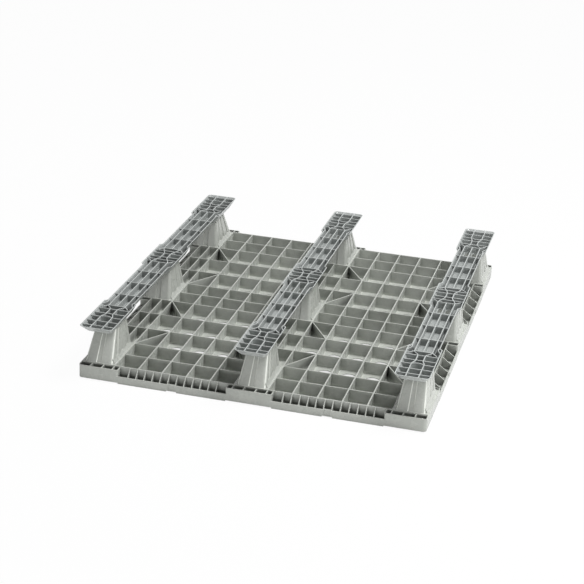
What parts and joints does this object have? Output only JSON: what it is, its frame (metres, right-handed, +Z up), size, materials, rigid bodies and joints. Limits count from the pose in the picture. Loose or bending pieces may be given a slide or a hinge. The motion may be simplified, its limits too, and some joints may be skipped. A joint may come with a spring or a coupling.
{
  "type": "nestable plastic pallet",
  "caption": "Nestable ribbed plastic pallet with hollow feet and three peg-fitted runners, shown load face down.",
  "frame": {"origin": "middle of the footprint, on the floor under the lips of the load face", "axes": "+Z up, from the load face (which lies on the floor) through the feet to the soles of the runners; +Y along the runners; +X across the width. The pallet is stored upside down, as pictured: turn it 180 degrees about +Y for use"},
  "size_m": [1, 1.2, 0.16],
  "materials": {
    "deck_plastic": "moulded light grey polyethylene, satin, slightly mottled",
    "runner_plastic": "moulded mid grey polyethylene, satin, a little darker and bluer than the deck"
  },
  "bodies": {
    "root": {"deck": "deck_plastic", "runner_left": "runner_plastic", "runner_middle": "runner_plastic", "runner_right": "runner_plastic"}
  },
  "joints": []
}
